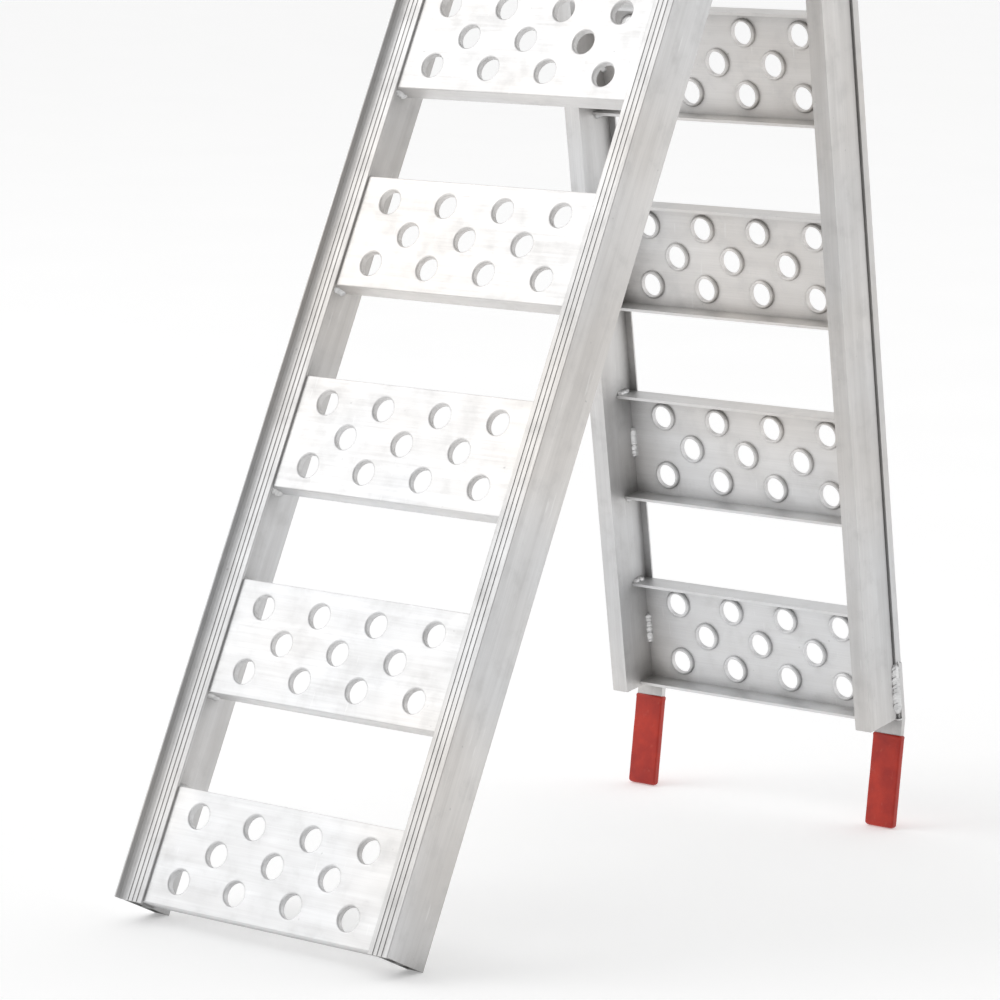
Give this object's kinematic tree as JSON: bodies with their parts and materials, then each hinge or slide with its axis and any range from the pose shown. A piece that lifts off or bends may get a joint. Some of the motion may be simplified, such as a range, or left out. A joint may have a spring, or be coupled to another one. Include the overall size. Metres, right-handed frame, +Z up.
{
  "type": "folding loading ramp",
  "caption": "Two-section folding loading ramp with hollow rails, punched channel rungs, link hinges and red dipped tailgate lips, standing open as an A-frame.",
  "frame": {"origin": "centre of the base of the bounding box, on the floor", "axes": "+Z up, +X across the ramp, +Y from the lower section's foot towards the upper section's lips"},
  "size_m": [0.3106, 0.695, 0.9324],
  "materials": {
    "rail_aluminium": "mill-finish extruded aluminium, fine lengthwise die lines",
    "rung_aluminium": "bright mill-finish aluminium sheet, faint rolling grain",
    "lip_aluminium": "mill-finish flat bar",
    "link_aluminium": "mill-finish flat bar, sawn edges",
    "weld_bead": "as-welded, overlapping ripples",
    "red_vinyl": "soft dipped vinyl, satin",
    "nylon": "natural nylon",
    "zinc_steel": "bright zinc plate"
  },
  "bodies": {
    "lower_section": {"lower_pivot_bolts": "zinc_steel", "lower_pivot_glides": "nylon", "lower_pivot_nuts": "zinc_steel", "lower_pivot_tubes": "zinc_steel", "lower_pivot_washers": "zinc_steel", "lower_rail_left": "rail_aluminium", "lower_rail_right": "rail_aluminium", "lower_rung_1": "rung_aluminium", "lower_rung_2": "rung_aluminium", "lower_rung_3": "rung_aluminium", "lower_rung_4": "rung_aluminium", "lower_rung_5": "rung_aluminium", "lower_rung_6": "rung_aluminium", "lower_welds": "weld_bead"},
    "hinge_links": {"hinge_link_left": "link_aluminium", "hinge_link_right": "link_aluminium"},
    "upper_section": {"lip_plate_left": "lip_aluminium", "lip_plate_right": "lip_aluminium", "lip_sleeve_left": "red_vinyl", "lip_sleeve_right": "red_vinyl", "lip_welds": "weld_bead", "upper_pivot_bolts": "zinc_steel", "upper_pivot_glides": "nylon", "upper_pivot_nuts": "zinc_steel", "upper_pivot_tubes": "zinc_steel", "upper_pivot_washers": "zinc_steel", "upper_rail_left": "rail_aluminium", "upper_rail_right": "rail_aluminium", "upper_rung_1": "rung_aluminium", "upper_rung_2": "rung_aluminium", "upper_rung_3": "rung_aluminium", "upper_rung_4": "rung_aluminium", "upper_rung_5": "rung_aluminium", "upper_welds": "weld_bead"}
  },
  "joints": [
    {"name": "lower_pivot", "type": "hinge", "parent": "hinge_links", "child": "lower_section", "pos_m": [0, 0.11399, 0.88293], "axis": [1, 0, 0], "range_deg": [-63.1, 26.9]},
    {"name": "upper_pivot", "type": "hinge", "parent": "hinge_links", "child": "upper_section", "pos_m": [0, 0.18648, 0.8843], "axis": [1, 0, 0], "range_deg": [-7.7, 82.3]}
  ]
}
